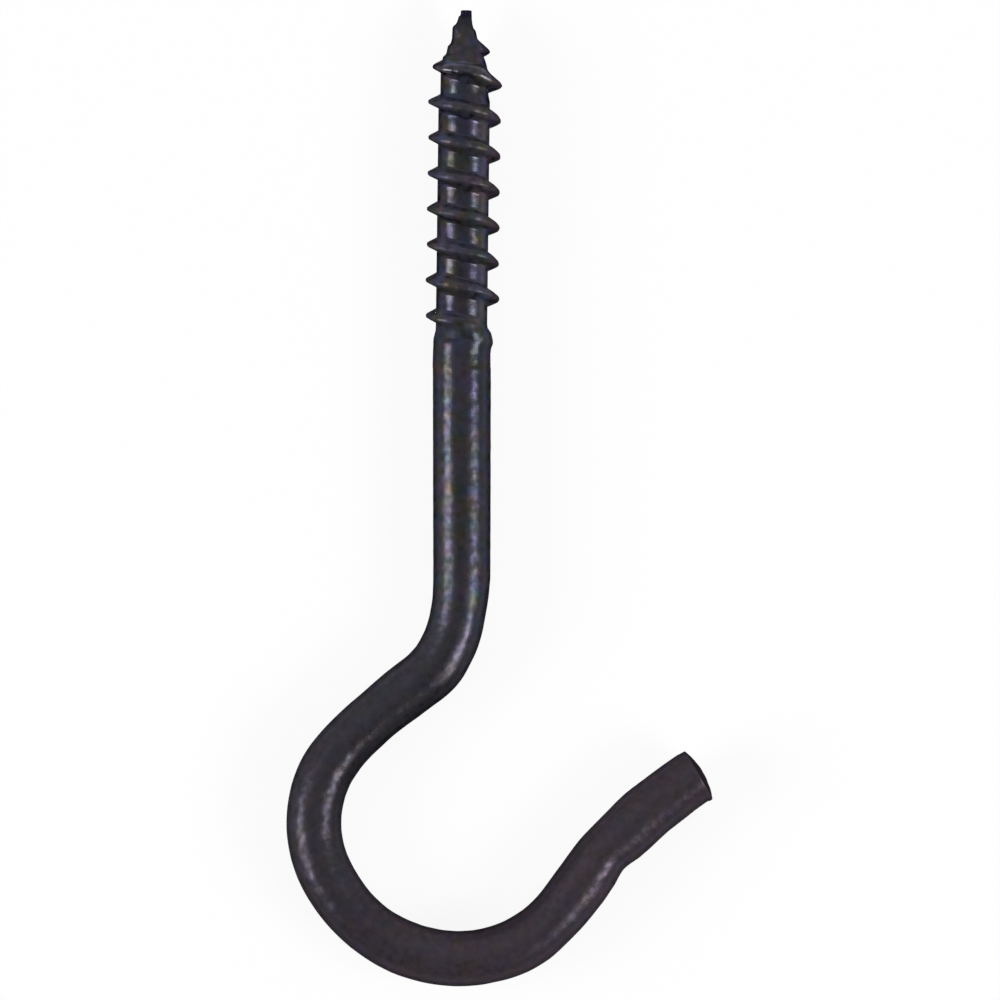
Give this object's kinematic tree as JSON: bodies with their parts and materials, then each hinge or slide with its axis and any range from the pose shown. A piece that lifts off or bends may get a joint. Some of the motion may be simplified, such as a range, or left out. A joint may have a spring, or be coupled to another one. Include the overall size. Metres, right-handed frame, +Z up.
{
  "type": "screw hook",
  "caption": "Black round-wire screw hook: coarse wood-screw thread with a gimlet point, plain shank, offset bend, round bowl and out-turned lip.",
  "frame": {"origin": "on the thread's axis at its run-out, where the ridge dies into the plain shank", "axes": "the hook lies flat: +Y along the thread towards the point, +X towards the open side of the bowl, +Z up, square to the plane of the hook"},
  "size_m": [0.035, 0.08, 0.0058],
  "materials": {
    "black_finish": "satin black coating on steel wire, slightly uneven, with a faint blue and brown cast"
  },
  "bodies": {
    "root": {"screw_hook": "black_finish"}
  },
  "joints": []
}
